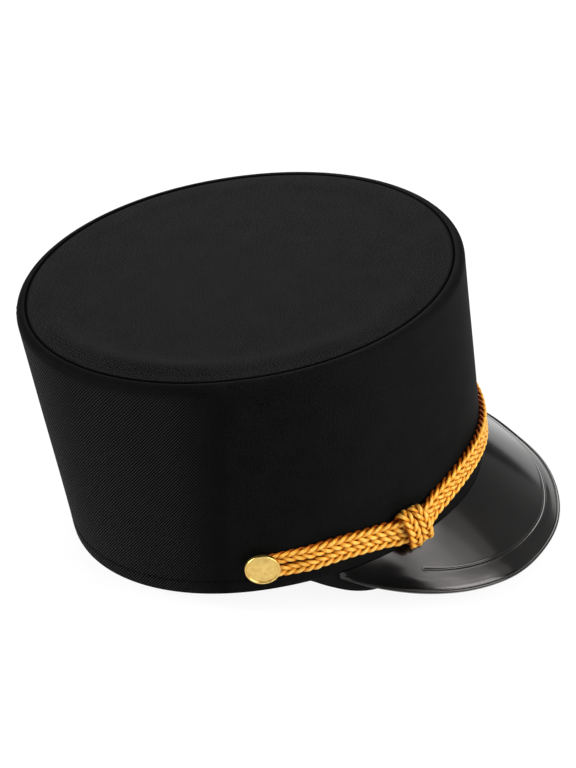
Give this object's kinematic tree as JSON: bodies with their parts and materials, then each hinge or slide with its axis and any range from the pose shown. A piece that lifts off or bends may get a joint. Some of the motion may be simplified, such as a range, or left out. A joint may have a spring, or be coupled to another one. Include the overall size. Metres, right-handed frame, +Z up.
{
  "type": "train conductor hat",
  "caption": "Tall black twill hat with a flat oval top, a glossy sloping visor, and gold braid held by buttons across its front, worn by a train conductor.",
  "frame": {"origin": "middle of the base of the hat's box, on the surface it stands on", "axes": "+Z up from that surface, -Y towards the visor, +X towards the wearer's left"},
  "size_m": [0.1916, 0.267, 0.1514],
  "materials": {
    "twill": "black diagonal twill",
    "panel": "black fine twill",
    "band": "dull black band",
    "visor": "polished black",
    "braid": "gold thread with a soft sheen",
    "button": "polished gold"
  },
  "bodies": {
    "root": {"crown_side": "twill", "crown_top": "panel", "sweatband": "band", "visor": "visor", "braid": "braid", "braid_knot_left": "braid", "braid_knot_right": "braid", "button_left": "button", "button_right": "button"}
  },
  "joints": []
}
